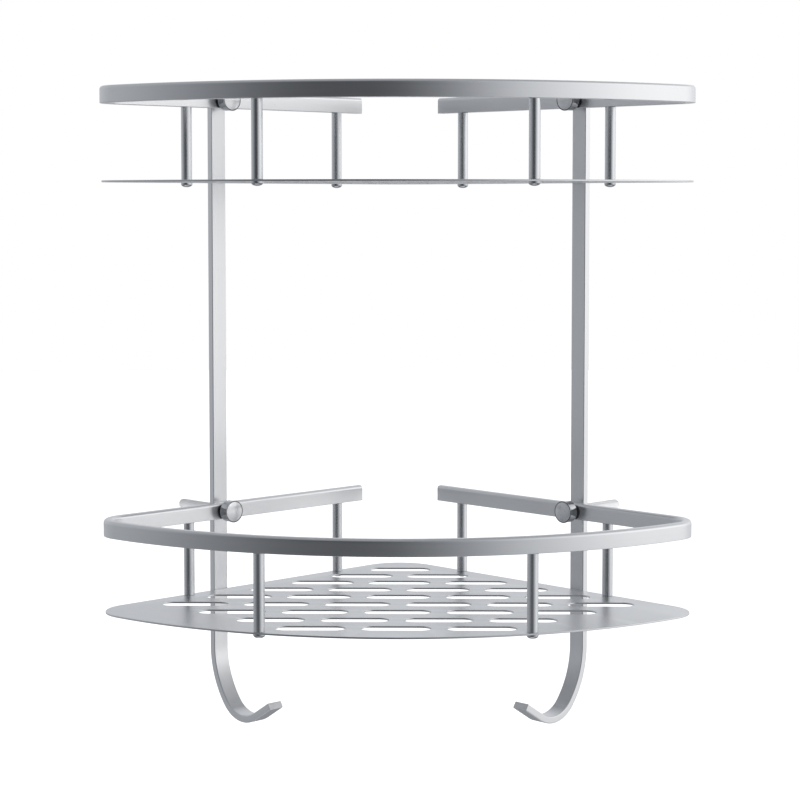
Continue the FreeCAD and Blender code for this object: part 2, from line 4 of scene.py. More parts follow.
import bmesh
import bpy
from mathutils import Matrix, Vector


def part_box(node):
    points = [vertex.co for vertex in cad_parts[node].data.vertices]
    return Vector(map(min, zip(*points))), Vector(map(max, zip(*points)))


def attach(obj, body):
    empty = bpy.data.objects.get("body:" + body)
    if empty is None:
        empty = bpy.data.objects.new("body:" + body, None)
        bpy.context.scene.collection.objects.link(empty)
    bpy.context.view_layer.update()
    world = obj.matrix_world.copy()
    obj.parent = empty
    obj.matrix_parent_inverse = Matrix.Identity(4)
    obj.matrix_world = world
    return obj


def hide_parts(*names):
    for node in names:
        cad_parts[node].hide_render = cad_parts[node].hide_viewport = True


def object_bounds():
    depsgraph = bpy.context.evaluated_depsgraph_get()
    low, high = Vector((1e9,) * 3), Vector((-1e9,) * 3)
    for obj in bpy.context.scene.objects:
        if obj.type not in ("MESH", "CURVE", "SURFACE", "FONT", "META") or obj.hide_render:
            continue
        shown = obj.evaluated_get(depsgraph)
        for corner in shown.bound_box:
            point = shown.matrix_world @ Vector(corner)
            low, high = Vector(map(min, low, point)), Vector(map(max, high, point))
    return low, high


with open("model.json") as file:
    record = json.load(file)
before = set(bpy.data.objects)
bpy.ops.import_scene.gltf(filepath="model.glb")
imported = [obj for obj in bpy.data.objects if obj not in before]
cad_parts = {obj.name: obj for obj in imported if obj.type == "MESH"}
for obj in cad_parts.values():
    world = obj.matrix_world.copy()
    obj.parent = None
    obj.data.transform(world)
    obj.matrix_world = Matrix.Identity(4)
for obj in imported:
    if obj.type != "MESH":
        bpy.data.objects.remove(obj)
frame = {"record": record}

# Looks of a two-tier corner shower caddy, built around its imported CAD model.
#
# Everything is in metres. +Z is up, the origin is on the corner line where the two walls meet, and
# the front faces -Y. "along" is a distance from the corner line measured on a wall, and "depth" a
# distance out of the wall into the room.

cad_box = [list(corner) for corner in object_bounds()]

MM = 0.001
UP = Vector((0, 0, 1))
LEFT = -1
RIGHT = 1
SIDES = {"left": LEFT, "right": RIGHT}
TIERS = ("lower", "upper")
POST_SPOTS = ("back", "side", "front")
RACK = "rack"
UV_NAME = "lengths"

# flat bars
UPRIGHT_THICKNESS = 4.0 * MM
UPRIGHT_EDGE_RADIUS = 0.5 * MM
HOOK_RADIUS = 19.0 * MM
HOOK_LEAD_RADIUS = 50.0 * MM
HOOK_LEAD_ANGLE = math.radians(40)
HOOK_RISE_ANGLE = math.radians(32)
HOOK_TIP_LENGTH = 15.2 * MM
UPRIGHT_STEPS = 12
RAIL_THICKNESS = 5.4 * MM
RAIL_TOP_RADIUS = 1.8 * MM
RAIL_BOTTOM_RADIUS = 0.25 * MM
RAIL_CORNER_RADIUS = 20.3 * MM
RAIL_FRONT_RADIUS = 231.5 * MM
RAIL_RUN_STEPS = 16
FRONT_ARC_CENTRE = 16.0 * MM
BAR_END_RADIUS = 0.22 * MM

# punched trays
TRAY_WALL_GAP = 4.3 * MM
TRAY_TIP_RADIUS = 22.0 * MM
TRAY_APEX_RADIUS = 25.0 * MM
TRAY_FRONT_RADIUS = 231.9 * MM
TRAY_EDGE_RADIUS = 0.22 * MM
SLOT_LENGTH = 37.0 * MM
SLOT_WIDTH = 11.5 * MM
SLOT_PITCH = 45.0 * MM
SLOT_ROW_PITCH = 22.76 * MM
FIRST_SLOT_ROW = 41.7 * MM
SLOTS_PER_ROW = (1, 2, 3, 4, 5, 6, 5, 4, 3)
SLOT_END_STEPS = 14

# posts and tray screws
POST_RADIUS = 3.0 * MM
POST_EDGE_RADIUS = 0.3 * MM
SPIGOT_RADIUS = 1.5 * MM
SPIGOT_EDGE_RADIUS = 0.2 * MM
POST_BORE_RADIUS = 1.55 * MM
POST_BORE_DEPTH = 9.0 * MM
POST_BORE_EDGE_RADIUS = 0.1 * MM
TRAY_SCREW_HEAD = 3.2 * MM
TRAY_SCREW_RISE = 2.4 * MM
TRAY_SCREW_RIM = 0.7 * MM
TRAY_SCREW_DOME_STEPS = 10
TRAY_SCREW_THREAD = 1.5 * MM
TRAY_SCREW_POINT_RADIUS = 0.3 * MM
TRAY_RECESS_REACH = 1.5 * MM
TRAY_RECESS_DEPTH = 1.0 * MM

# a cross recess: the width of its arms and the size of its floor, for an opening of 1
RECESS_ARM = 0.22
RECESS_FLOOR = 0.55

# caps
CAP_RADIUS = 6.3 * MM
CAP_SKIRT_RADIUS = 6.1 * MM
CAP_BORE_RADIUS = 4.65 * MM
CAP_START = 1.2 * MM
CAP_STEP = 6.2 * MM
CAP_EDGE = 0.75 * MM
CAP_RIM = 0.14 * MM
CAP_GROOVE = 0.3 * MM
CAP_SEAM = 0.42 * MM
CAP_END = 7.5 * MM
CAP_BORE_EDGE_RADIUS = 0.15 * MM
CAP_MOUTH_EDGE_RADIUS = 0.4 * MM
CAP_SKIRT_EDGE_RADIUS = 0.08 * MM
CAP_DISC_EDGE_RADIUS = 0.1 * MM
CAP_DOME_STEPS = 14

# cap bases
BASE_FLANGE_RADIUS = 5.2 * MM
BASE_FLANGE_HEIGHT = 0.9 * MM
BASE_BOSS_RADIUS = 4.6 * MM
BASE_SOCKET_RADIUS = 3.9 * MM
BASE_HOLE_RADIUS = 2.25 * MM
BASE_FLOOR = 1.4 * MM
BASE_HEIGHT = 5.0 * MM
BASE_SEAT_EDGE_RADIUS = 0.1 * MM
BASE_FLANGE_EDGE_RADIUS = 0.25 * MM
BASE_SOCKET_EDGE_RADIUS = 0.15 * MM
BASE_THREAD_PITCH = 0.7 * MM
BASE_THREAD_DEPTH = 0.3 * MM
BASE_THREAD_FOOT = 0.3 * MM
BASE_THREAD_HEAD = 0.2 * MM
BASE_THREAD_STEPS = 48

# wall screws
WALL_SCREW_HEAD = 3.7 * MM
WALL_SCREW_RISE = 2.4 * MM
WALL_SCREW_THREAD = 2.0 * MM
WALL_SCREW_DEPTH = 22.0 * MM
WALL_SCREW_TAPER = 3.0 * MM
WALL_SCREW_TAPER_RADIUS = 0.5 * MM
WALL_SCREW_SEAT_RADIUS = 0.15 * MM
WALL_SCREW_CROWN_RADIUS = 1.2 * MM
WALL_RECESS_REACH = 1.9 * MM
WALL_RECESS_DEPTH = 1.3 * MM

# wall plugs
PLUG_RADIUS = 3.0 * MM
PLUG_TIP_RADIUS = 2.2 * MM
PLUG_BORE_RADIUS = 2.05 * MM
PLUG_BORE_DEPTH = 27.0 * MM
PLUG_LENGTH = 32.0 * MM
PLUG_MOUTH_EDGE_RADIUS = 0.2 * MM
PLUG_BORE_EDGE_RADIUS = 0.1 * MM
PLUG_COLLAR = 7.0 * MM
PLUG_COLLAR_STEP = 0.01 * MM
PLUG_SLIT_WIDTH = 0.6 * MM
PLUG_SLIT_DEPTH = 0.5 * MM
PLUG_SLIT_ANGLE = PLUG_SLIT_WIDTH / 2 / PLUG_RADIUS
PLUG_SLIT_WALL_ANGLE = 0.01
PLUG_STEPS_BETWEEN_SLITS = 22

# mesh fineness
ARC_CHORD = 1.2 * MM
ROUNDING_STEPS = 5
TURN_STEPS = 64
SHARP_ANGLE = math.radians(32)
POLE_RADIUS = 1e-7
NEAR_ENOUGH = 1e-6

# materials: how fine their marks are, in waves or cells per metre, and how deep
CLOUD_SCALE = 22.0
GRAIN_SCALE = 2600.0
GRAIN_DEPTH = 0.0012 * MM
NICK_SCALE = 62.0
NICK_CENTRE = 0.012
NICK_RIM = 0.026
NICK_DEPTH = 0.12 * MM
EDGE_WEAR_START = 0.52
EDGE_WEAR_FULL = 0.62
SMUDGE_SCALE = 260.0
PLATING_SCALE = 420.0
PLATING_DEPTH = 0.004 * MM
NYLON_CLOUD_SCALE = 160.0
NYLON_PIT_SCALE = 2400.0
NYLON_PIT_DEPTH = 0.006 * MM
PEEL_SCALE = 1500.0
PEEL_DEPTH = 0.004 * MM
FLOOR_MOTTLE_SCALE = 3.0
FLOOR_ROLLER_SCALE = 60.0
FLOOR_ROLLER_DEPTH = 0.2 * MM


# ---------------------------------------------------------------- places taken from the frame

def wall_directions(side):
    """Unit vectors along a wall away from the corner, and out of the wall into the room."""
    return Vector((side, -1, 0)).normalized(), Vector((-side, -1, 0)).normalized()


def near_wall(side, along, depth, height):
    """The point at a distance along a wall, a depth out of it and a height."""
    run, normal = wall_directions(side)
    return run * along + normal * depth + UP * height


def upright_place():
    """Middle of an upright measured along its wall, its width and its top."""
    _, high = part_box("right_upright")
    outer = high.x * math.sqrt(2)
    inner = -high.y * math.sqrt(2)
    return (outer + inner) / 2, outer - inner, high.z


def rail_end_along():
    """Where a rail's end faces are, along the wall."""
    _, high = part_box("lower_rail")
    return -high.y * math.sqrt(2) - UPRIGHT_THICKNESS


def post_centre(node):
    """Where a post's axis meets the plan."""
    low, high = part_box(node)
    return Vector(((low.x + high.x) / 2, (low.y + high.y) / 2, 0))


def fixing(tier, side_name):
    """The point on the wall where a fixing's axis leaves it, and that axis into the room."""
    name = f"{tier}_{side_name}_plug"
    mount = next(item for item in frame["record"]["mounts"] if item["name"] == name)
    _, normal = wall_directions(SIDES[side_name])
    position = Vector(mount["pos_m"])
    return position - normal * position.dot(normal), normal


# ---------------------------------------------------------------- outlines

def arc(centre, radius, start, end):
    """Plan points on an anticlockwise arc, both ends included, each with its direction of travel."""
    steps = max(ROUNDING_STEPS, math.ceil(radius * (end - start) / ARC_CHORD))
    samples = []
    for step in range(steps + 1):
        turn = start + (end - start) * step / steps
        outward = Vector((math.cos(turn), math.sin(turn), 0))
        samples.append((centre + outward * radius, UP.cross(outward)))
    return samples


def quadrant_arcs(wall_distance, corner_radius, front_radius):
    """The left corner, front and right corner of a plan outline that follows both walls."""
    shift = FRONT_ARC_CENTRE / math.sqrt(2)
    depth = wall_distance + corner_radius
    along = shift + math.sqrt((front_radius - corner_radius) ** 2 - (depth - shift) ** 2)
    left_centre = near_wall(LEFT, along, depth, 0)
    right_centre = near_wall(RIGHT, along, depth, 0)
    front_centre = Vector((0, -FRONT_ARC_CENTRE, 0))
    sweep = math.atan2(-right_centre.y - FRONT_ARC_CENTRE, right_centre.x)
    return [
        *arc(left_centre, corner_radius, math.radians(135), math.pi + sweep),
        *arc(front_centre, front_radius, math.pi + sweep, 2 * math.pi - sweep)[1:-1],
        *arc(right_centre, corner_radius, -sweep, math.radians(45)),
    ]


def rounded_corners(corners):
    """An open outline through (x, y, radius) corners, each one rounded to its radius."""
    points = [Vector((x, y)) for x, y, _ in corners]
    outline = [points[0]]
    for i in range(1, len(corners) - 1):
        corner = points[i]
        radius = corners[i][2]
        back = (points[i - 1] - corner).normalized()
        ahead = (points[i + 1] - corner).normalized()
        if not radius:
            outline.append(corner)
            continue
        half = back.angle(ahead) / 2
        reach = radius / math.tan(half)
        centre = corner + (back + ahead).normalized() * (radius / math.sin(half))
        first = corner + back * reach - centre
        turn = (math.pi - 2 * half) * (1 if back.cross(ahead) < 0 else -1)
        for step in range(ROUNDING_STEPS + 1):
            angle = turn * step / ROUNDING_STEPS
            cos = math.cos(angle)
            sin = math.sin(angle)
            spoke = Vector((first.x * cos - first.y * sin, first.x * sin + first.y * cos))
            outline.append(centre + spoke)
    outline.append(points[-1])
    return outline


def bar_section(width, height, lower_radius, upper_radius, inset):
    """Cross-section of a flat bar about the middle of its underside, shrunk all round by inset."""
    corners = (
        (1, -1, lower_radius),
        (1, 1, upper_radius),
        (-1, 1, upper_radius),
        (-1, -1, lower_radius),
    )
    section = []
    for quarter, (across, up, radius) in enumerate(corners, start=-1):
        centre = Vector((across * (width / 2 - radius), height / 2 + up * (height / 2 - radius)))
        for step in range(ROUNDING_STEPS + 1):
            turn = math.pi / 2 * (quarter + step / ROUNDING_STEPS)
            section.append(centre + Vector((math.cos(turn), math.sin(turn))) * (radius - inset))
    return section


# ---------------------------------------------------------------- meshes

def distances(points, closed=False):
    """Running length along points, and round to the first one if they close."""
    lengths = [0.0]
    for before, after in zip(points, points[1:] + points[:1] if closed else points[1:]):
        lengths.append(lengths[-1] + (after - before).length)
    return lengths


def skin(name, rings, lengths, girths, ends=False, closed=False, materials=None):
    """A mesh through rings of points, where a ring of one point is a pole.

    Its UV map holds real distances: lengths from ring to ring, and girths round a ring. ends fills
    the first and last rings with the second material, closed joins them, and materials gives each
    band a material number.
    """
    count = max(len(ring) for ring in rings)
    starts = [0]
    for ring in rings:
        starts.append(starts[-1] + len(ring))
    faces = []
    places = []
    numbers = []
    bands = len(rings) if closed else len(rings) - 1
    for band in range(bands):
        after = (band + 1) % len(rings)
        for j in range(count):
            corners = [(band, j, 0), (band, j + 1, 0), (after, j + 1, 1), (after, j, 1)]
            if len(rings[band]) == 1:
                corners.pop(1)
            if len(rings[after]) == 1:
                corners.pop(-1)
            faces.append([starts[i] + k % len(rings[i]) for i, k, _ in corners])
            places.extend((lengths[band + step], girths[k]) for _, k, step in corners)
            numbers.append(materials[band] if materials else 0)
    if ends:
        for i in (0, len(rings) - 1):
            faces.append([starts[i] + j for j in range(count)])
            places.extend((lengths[i], girths[j]) for j in range(count))
            numbers.append(1)
    mesh = bpy.data.meshes.new(name)
    mesh.from_pydata([point for ring in rings for point in ring], [], faces)
    mesh.uv_layers.new(name=UV_NAME).data.foreach_set("uv", [x for place in places for x in place])
    mesh.polygons.foreach_set("material_index", numbers)
    return tidied(mesh)


def tidied(mesh):
    """The same mesh with its faces outward, smooth where it is round and sharp where it is not."""
    work = bmesh.new()
    work.from_mesh(mesh)
    bmesh.ops.recalc_face_normals(work, faces=work.faces)
    work.to_mesh(mesh)
    work.free()
    mesh.shade_smooth()
    mesh.set_sharp_from_angle(angle=SHARP_ANGLE)
    return mesh


def swept_bar(name, path, fixed, width, height, lower_radius, upper_radius):
    """A flat bar along a path of (point, direction), with softly rounded ends.

    fixed is the direction that the bar's height keeps all the way.
    """
    stations = [(point, direction, 0.0) for point, direction in path[1:-1]]
    for (point, direction), inward in ((path[0], 1), (path[-1], -1)):
        rounding = []
        for step in range(ROUNDING_STEPS + 1):
            turn = math.pi / 2 * step / ROUNDING_STEPS
            centre = point + direction * (inward * BAR_END_RADIUS * (1 - math.cos(turn)))
            rounding.append((centre, direction, BAR_END_RADIUS * (1 - math.sin(turn))))
        stations = rounding + stations if inward == 1 else stations + rounding[::-1]
    rings = []
    for centre, direction, inset in stations:
        across = direction.cross(fixed)
        section = bar_section(width, height, lower_radius, upper_radius, inset)
        rings.append([centre + across * a + fixed * b for a, b in section])
    lengths = distances([centre for centre, _, _ in stations])
    girths = distances(bar_section(width, height, lower_radius, upper_radius, 0.0), closed=True)
    return skin(name, rings, lengths, girths, ends=True)


def turned(name, profile, origin, axis, closed=False, shape=None, materials=None, angles=None):
    """A turned mesh from a profile of (radius, height) points about an axis.

    shape(radius, height, angle) may change the radius, as a thread or a slit does.
    """
    side = axis.orthogonal().normalized()
    across = axis.cross(side)
    angles = angles or [2 * math.pi * step / TURN_STEPS for step in range(TURN_STEPS)]
    rings = []
    for radius, height in profile:
        centre = origin + axis * height
        if radius < POLE_RADIUS:
            rings.append([centre])
            continue
        ring = []
        for angle in angles:
            reach = shape(radius, height, angle) if shape else radius
            ring.append(centre + (side * math.cos(angle) + across * math.sin(angle)) * reach)
        rings.append(ring)
    widest = max(radius for radius, _ in profile)
    girths = [angle * widest for angle in angles] + [2 * math.pi * widest]
    lengths = distances([Vector(point) for point in profile], closed)
    return skin(name, rings, lengths, girths, closed=closed, materials=materials)


def cross_recess(mesh, centre, outward, reach, depth):
    """Cuts a tapered cross into a screw head, from a point on its top."""
    side = outward.orthogonal().normalized()
    across = outward.cross(side)
    cutter = bmesh.new()
    for long_way, short_way in ((side, across), (across, side)):
        corners = []
        for level, shrink in ((depth, 1.0), (-depth, RECESS_FLOOR)):
            for a, b in ((-1, -1), (1, -1), (1, 1), (-1, 1)):
                offset = long_way * (a * reach * shrink) + short_way * (b * reach * RECESS_ARM * shrink)
                corners.append(cutter.verts.new(centre + offset + outward * level))
        cutter.faces.new(corners[:4])
        cutter.faces.new(corners[:3:-1])
        for k in range(4):
            after = (k + 1) % 4
            cutter.faces.new((corners[k], corners[k + 4], corners[after + 4], corners[after]))
    bmesh.ops.recalc_face_normals(cutter, faces=cutter.faces)
    cutter_mesh = bpy.data.meshes.new("recess_cutter")
    cutter.to_mesh(cutter_mesh)
    cutter.free()
    cutter_object = bpy.data.objects.new("recess_cutter", cutter_mesh)
    screw = bpy.data.objects.new("recess_screw", mesh)
    for item in (cutter_object, screw):
        bpy.context.scene.collection.objects.link(item)
    cut = screw.modifiers.new("cut", "BOOLEAN")
    cut.operation = "DIFFERENCE"
    cut.solver = "EXACT"
    cut.use_self = True
    cut.object = cutter_object
    graph = bpy.context.evaluated_depsgraph_get()
    result = bpy.data.meshes.new_from_object(screw.evaluated_get(graph))
    for item in (cutter_object, screw):
        bpy.data.objects.remove(item)
    bpy.data.meshes.remove(cutter_mesh)
    return tidied(result)


# ---------------------------------------------------------------- materials

def new_material(name):
    """A material, its node tree and its shader."""
    material = bpy.data.materials.new(name)
    material.use_nodes = True
    tree = material.node_tree
    return material, tree, tree.nodes["Principled BSDF"]


def add_node(tree, kind, inputs, **settings):
    """A shader node; an input is a plain value or the output socket that feeds it."""
    made = tree.nodes.new(f"ShaderNode{kind}")
    for name, setting in settings.items():
        setattr(made, name, setting)
    for name, source in inputs.items():
        if isinstance(source, bpy.types.NodeSocket):
            tree.links.new(source, made.inputs[name])
        else:
            made.inputs[name].default_value = source
    return made


def noise(tree, vector, scale, detail=3.0, roughness=0.55):
    """A noise texture's grey value. The scale is in waves per metre."""
    settings = {"Vector": vector, "Scale": scale, "Detail": detail, "Roughness": roughness}
    return add_node(tree, "TexNoise", settings).outputs["Fac"]


def remap(tree, source, low, high, to_low, to_high):
    """A value carried from one range to another, and held at the ends."""
    inputs = {"Value": source, "From Min": low, "From Max": high, "To Min": to_low, "To Max": to_high}
    return add_node(tree, "MapRange", inputs).outputs["Result"]


def maths(tree, operation, first, second):
    """The result of a sum on two values."""
    return add_node(tree, "Math", {0: first, 1: second}, operation=operation).outputs[0]


def mix_colours(tree, factor, first, second):
    """The first colour, or the socket that feeds it, blended towards the second by the factor."""
    if isinstance(first, tuple):
        first = (*first, 1.0)
    inputs = {0: factor, 6: first, 7: (*second, 1.0)}
    return add_node(tree, "Mix", inputs, data_type="RGBA").outputs[2]


def bump(tree, height, distance, normal=None):
    """A normal tilted by a height of the given depth, on top of another normal if there is one."""
    inputs = {"Height": height, "Strength": 1.0, "Distance": distance}
    if normal:
        inputs["Normal"] = normal
    return add_node(tree, "Bump", inputs).outputs["Normal"]


def worn_edges(tree):
    """A value that rises from 0 to 1 on outward edges, where hands and cloths rub."""
    pointiness = add_node(tree, "NewGeometry", {}).outputs["Pointiness"]
    return remap(tree, pointiness, EDGE_WEAR_START, EDGE_WEAR_FULL, 0.0, 1.0)


def satin_metal(name, darker, lighter, roughness, spread, streak_size, streak_height):
    """Anodised aluminium: fine grain, faint drawing marks along the stock, a few nicks, worn edges.

    streak_size is the length and width of the drawing marks, and streak_height their depth.
    """
    material, tree, shader = new_material(name)
    lengths = add_node(tree, "UVMap", {}, uv_map=UV_NAME).outputs["UV"]
    place = add_node(tree, "TexCoord", {}).outputs["Object"]
    scale = (1 / streak_size[0], 1 / streak_size[1], 1.0)
    stretched = add_node(tree, "Mapping", {"Vector": lengths, "Scale": scale}).outputs["Vector"]
    streaks = noise(tree, stretched, 1.0, detail=4.0, roughness=0.65)
    clouds = noise(tree, place, CLOUD_SCALE, detail=2.0)
    grain = noise(tree, place, GRAIN_SCALE, detail=2.0)
    tone = maths(tree, "MULTIPLY", maths(tree, "ADD", streaks, clouds), 0.5)
    even = remap(tree, tone, 0.35, 0.65, 0.0, 1.0)
    edges = worn_edges(tree)
    worn = tuple(min(1.0, part * 1.05) for part in lighter)
    tinted = mix_colours(tree, even, darker, lighter)
    rubbed = maths(tree, "MULTIPLY", edges, 0.6)
    tree.links.new(mix_colours(tree, rubbed, tinted, worn), shader.inputs["Base Color"])
    rough = remap(tree, even, 0.0, 1.0, roughness - spread, roughness + spread)
    polished = maths(tree, "SUBTRACT", rough, maths(tree, "MULTIPLY", edges, spread * 1.5))
    tree.links.new(polished, shader.inputs["Roughness"])
    cells = add_node(tree, "TexVoronoi", {"Vector": place, "Scale": NICK_SCALE}).outputs["Distance"]
    nicks = remap(tree, cells, NICK_CENTRE, NICK_RIM, 0.0, 1.0)
    normal = bump(tree, grain, GRAIN_DEPTH, bump(tree, streaks, streak_height))
    normal = bump(tree, nicks, NICK_DEPTH, normal)
    tree.links.new(normal, shader.inputs["Normal"])
    shader.inputs["Metallic"].default_value = 1.0
    return material


def polished_metal(name, colour, smudged, roughness):
    """Bright plated metal, with faint smudges and a trace of waviness."""
    material, tree, shader = new_material(name)
    place = add_node(tree, "TexCoord", {}).outputs["Object"]
    smudges = remap(tree, noise(tree, place, SMUDGE_SCALE, detail=4.0), 0.35, 0.7, 0.0, 1.0)
    tree.links.new(mix_colours(tree, smudges, colour, smudged), shader.inputs["Base Color"])
    rough = remap(tree, smudges, 0.0, 1.0, roughness, roughness * 2)
    tree.links.new(rough, shader.inputs["Roughness"])
    waviness = bump(tree, noise(tree, place, PLATING_SCALE), PLATING_DEPTH)
    tree.links.new(waviness, shader.inputs["Normal"])
    shader.inputs["Metallic"].default_value = 1.0
    return material


def moulded_plastic(name, colour, shaded, roughness):
    """Moulded nylon: a soft sheen, fine pitting and slight cloudiness."""
    material, tree, shader = new_material(name)
    place = add_node(tree, "TexCoord", {}).outputs["Object"]
    clouds = remap(tree, noise(tree, place, NYLON_CLOUD_SCALE), 0.35, 0.65, 0.0, 1.0)
    tree.links.new(mix_colours(tree, clouds, colour, shaded), shader.inputs["Base Color"])
    rough = remap(tree, clouds, 0.0, 1.0, roughness - 0.05, roughness + 0.05)
    tree.links.new(rough, shader.inputs["Roughness"])
    pits = bump(tree, noise(tree, place, NYLON_PIT_SCALE), NYLON_PIT_DEPTH)
    tree.links.new(pits, shader.inputs["Normal"])
    shader.inputs["Subsurface Weight"].default_value = 0.15
    shader.inputs["Subsurface Radius"].default_value = (1.0 * MM, 1.0 * MM, 1.0 * MM)
    return material


def painted_shade_coating(name, colour, lighter, roughness):
    """Near-black paint that is painted shade: it darkens the gap under each cap and the groove round its
    face as their shade would. It has a fine orange peel and rubbed edges.
    """
    material, tree, shader = new_material(name)
    place = add_node(tree, "TexCoord", {}).outputs["Object"]
    peel = noise(tree, place, PEEL_SCALE)
    tree.links.new(mix_colours(tree, worn_edges(tree), colour, lighter), shader.inputs["Base Color"])
    rough = remap(tree, peel, 0.3, 0.7, roughness - 0.08, roughness + 0.08)
    tree.links.new(rough, shader.inputs["Roughness"])
    tree.links.new(bump(tree, peel, PEEL_DEPTH), shader.inputs["Normal"])
    shader.inputs["Metallic"].default_value = 0.6
    return material


def stage_paint(name, colour, glow):
    """Matt pale paint with a faint roller texture, for the floor."""
    material, tree, shader = new_material(name)
    place = add_node(tree, "TexCoord", {}).outputs["Object"]
    mottle = noise(tree, place, FLOOR_MOTTLE_SCALE)
    shade = tuple(part * 0.98 for part in colour)
    tree.links.new(mix_colours(tree, mottle, colour, shade), shader.inputs["Base Color"])
    roller = bump(tree, noise(tree, place, FLOOR_ROLLER_SCALE), FLOOR_ROLLER_DEPTH)
    tree.links.new(roller, shader.inputs["Normal"])
    shader.inputs["Roughness"].default_value = 0.9
    shader.inputs["Emission Color"].default_value = (*colour, 1.0)
    shader.inputs["Emission Strength"].default_value = glow
    return material


BAR_METAL = satin_metal(
    "satin_bar", darker=(0.735, 0.74, 0.755), lighter=(0.775, 0.78, 0.79),
    roughness=0.31, spread=0.03, streak_size=(60 * MM, 0.6 * MM), streak_height=0.0008 * MM,
)
SHEET_METAL = satin_metal(
    "satin_sheet", darker=(0.715, 0.72, 0.735), lighter=(0.735, 0.74, 0.75),
    roughness=0.33, spread=0.02, streak_size=(60 * MM, 1.2 * MM), streak_height=0.0003 * MM,
)
ROD_METAL = satin_metal(
    "satin_rod", darker=(0.62, 0.63, 0.65), lighter=(0.73, 0.74, 0.755),
    roughness=0.26, spread=0.04, streak_size=(20 * MM, 0.5 * MM), streak_height=0.0012 * MM,
)
CUT_METAL = satin_metal(
    "saw_cut", darker=(0.84, 0.84, 0.85), lighter=(0.93, 0.93, 0.94),
    roughness=0.46, spread=0.05, streak_size=(0.6 * MM, 0.6 * MM), streak_height=0.003 * MM,
)
CAP_FACE_METAL = satin_metal(
    "satin_cap_face", darker=(0.62, 0.625, 0.64), lighter=(0.74, 0.745, 0.76),
    roughness=0.22, spread=0.03, streak_size=(4 * MM, 0.3 * MM), streak_height=0.0008 * MM,
)
CHROME = polished_metal("polished_rim", (0.60, 0.61, 0.63), (0.48, 0.49, 0.51), 0.09)
SCREW_STEEL = polished_metal("zinc_plate", (0.62, 0.62, 0.62), (0.52, 0.52, 0.51), 0.22)
# near-black painted shade: it stands in for the shade in the gap under each cap and in the groove round
# its face
PAINTED_SHADE_COATING = painted_shade_coating("painted_shade_coating", (0.035, 0.035, 0.04), (0.10, 0.10, 0.11), 0.42)
PLUG_NYLON = moulded_plastic("plug_nylon", (0.88, 0.88, 0.88), (0.82, 0.82, 0.82), 0.45)


# ---------------------------------------------------------------- pieces

def add_piece(name, mesh, materials, body, slot, *nodes):
    """Puts a piece in the scene, on its body, in place of its CAD nodes."""
    for material in materials:
        mesh.materials.append(material)
    piece = bpy.data.objects.new(name, mesh)
    bpy.context.scene.collection.objects.link(piece)
    even = piece.modifiers.new("even_normals", "WEIGHTED_NORMAL")
    even.keep_sharp = True
    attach(piece, body)
    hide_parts(*nodes)
    return piece


def on_bend(centre, radius, normal, turn):
    """A point on a bend in a bar that runs down its wall, and the direction of travel there."""
    outward = normal * math.cos(turn) + UP * math.sin(turn)
    forward = UP * math.cos(turn) - normal * math.sin(turn)
    return centre + outward * radius, forward


def upright_path(foot, normal, top):
    """The middle line of an upright: down the wall, round the lead and the hook, and up the tip."""
    half = UPRIGHT_THICKNESS / 2
    hook_height = HOOK_RADIUS + half
    lead_height = hook_height + (HOOK_LEAD_RADIUS - HOOK_RADIUS) * math.sin(HOOK_LEAD_ANGLE)
    hook_depth = half + HOOK_LEAD_RADIUS - (HOOK_LEAD_RADIUS - HOOK_RADIUS) * math.cos(HOOK_LEAD_ANGLE)
    lead_centre = foot + normal * (half + HOOK_LEAD_RADIUS) + UP * lead_height
    hook_centre = foot + normal * hook_depth + UP * hook_height
    lead_end = math.pi + HOOK_LEAD_ANGLE
    hook_end = 1.5 * math.pi + HOOK_RISE_ANGLE
    path = []
    for step in range(UPRIGHT_STEPS):
        height = top + (lead_height - top) * step / UPRIGHT_STEPS
        path.append((foot + normal * half + UP * height, -UP))
    bends = (
        (lead_centre, HOOK_LEAD_RADIUS, math.pi, lead_end),
        (hook_centre, HOOK_RADIUS, lead_end, hook_end),
    )
    for centre, radius, start, end in bends:
        steps = math.ceil(radius * (end - start) / ARC_CHORD)
        for step in range(steps):
            path.append(on_bend(centre, radius, normal, start + (end - start) * step / steps))
    bend_end, tip_direction = on_bend(hook_centre, HOOK_RADIUS, normal, hook_end)
    path.append((bend_end, tip_direction))
    path.append((bend_end + tip_direction * HOOK_TIP_LENGTH, tip_direction))
    return path


def make_upright(side_name):
    """A flat bar down the wall that curls out into the room as a hook."""
    node = f"{side_name}_upright"
    along, width, top = upright_place()
    run, normal = wall_directions(SIDES[side_name])
    path = upright_path(run * (along - width / 2), normal, top)
    radius = UPRIGHT_EDGE_RADIUS
    mesh = swept_bar(f"{node}_bar", path, run, UPRIGHT_THICKNESS, width, radius, radius)
    add_piece(mesh.name, mesh, [BAR_METAL, CUT_METAL], RACK, "anodised_aluminium", node)


